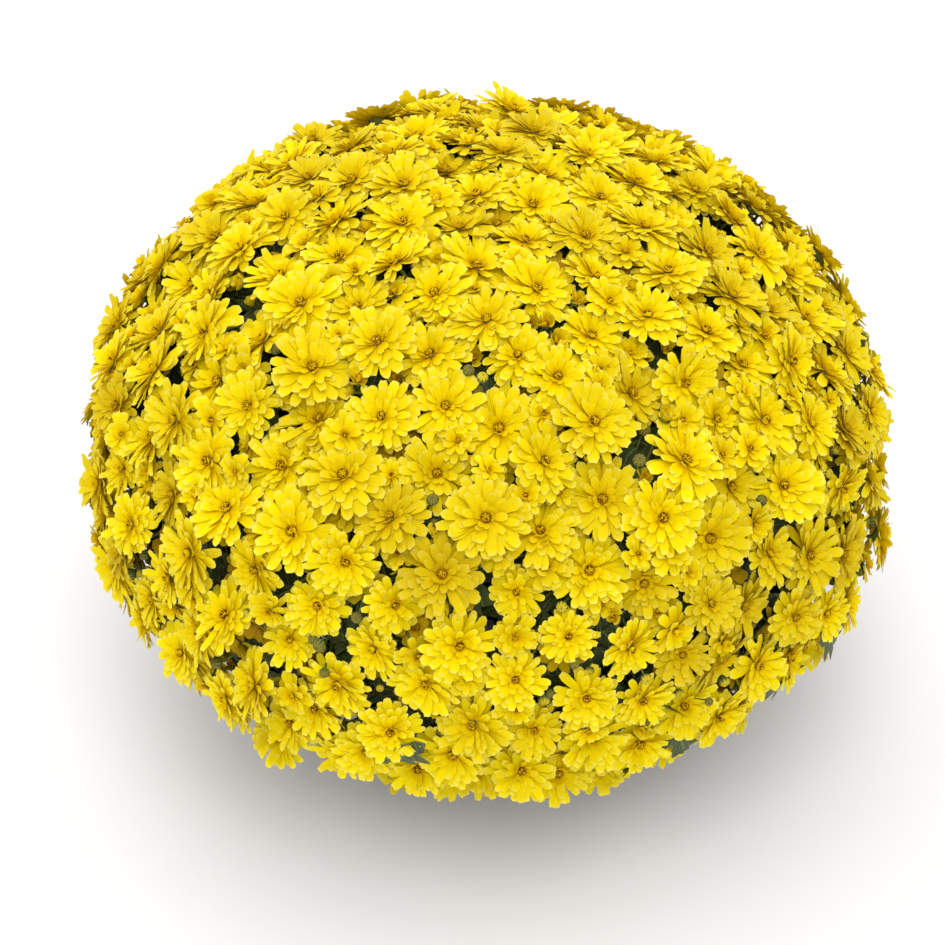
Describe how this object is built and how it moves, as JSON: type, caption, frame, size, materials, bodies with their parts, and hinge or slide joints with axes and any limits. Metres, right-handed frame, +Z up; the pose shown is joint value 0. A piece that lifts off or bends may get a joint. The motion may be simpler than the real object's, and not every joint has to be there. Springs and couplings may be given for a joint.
{
  "type": "pot chrysanthemum",
  "caption": "A cushion chrysanthemum in full yellow flower: a low dome of semi-double blooms on branching leafy stems, rooted in the soil of a plain black nursery pot.",
  "frame": {"origin": "middle of the pot's underside, on the surface that the pot stands on", "axes": "+Z up along the pot's axis; the picture looks along +Y and down; +X to its right"},
  "size_m": [0.483, 0.4891, 0.3747],
  "materials": {
    "petals": "matte",
    "foliage": "matte",
    "potting_soil": "matte",
    "pot_plastic": "satin"
  },
  "bodies": {
    "root": {"pot": "pot_plastic", "soil": "potting_soil", "cutting_1": "foliage", "cutting_2": "foliage", "cutting_3": "foliage", "cutting_4": "foliage", "cutting_5": "foliage", "spray_01": "petals", "spray_02": "petals", "spray_03": "petals", "spray_04": "petals", "spray_05": "petals", "spray_06": "petals", "spray_07": "petals", "spray_08": "petals", "spray_09": "petals", "spray_10": "petals", "spray_11": "petals", "spray_12": "petals", "spray_13": "petals", "spray_14": "petals", "spray_15": "petals", "spray_16": "petals", "spray_17": "petals", "spray_18": "petals", "spray_19": "petals", "spray_20": "petals", "spray_21": "petals", "spray_22": "petals", "spray_23": "petals", "spray_24": "petals", "spray_25": "petals", "spray_26": "petals"}
  },
  "joints": []
}
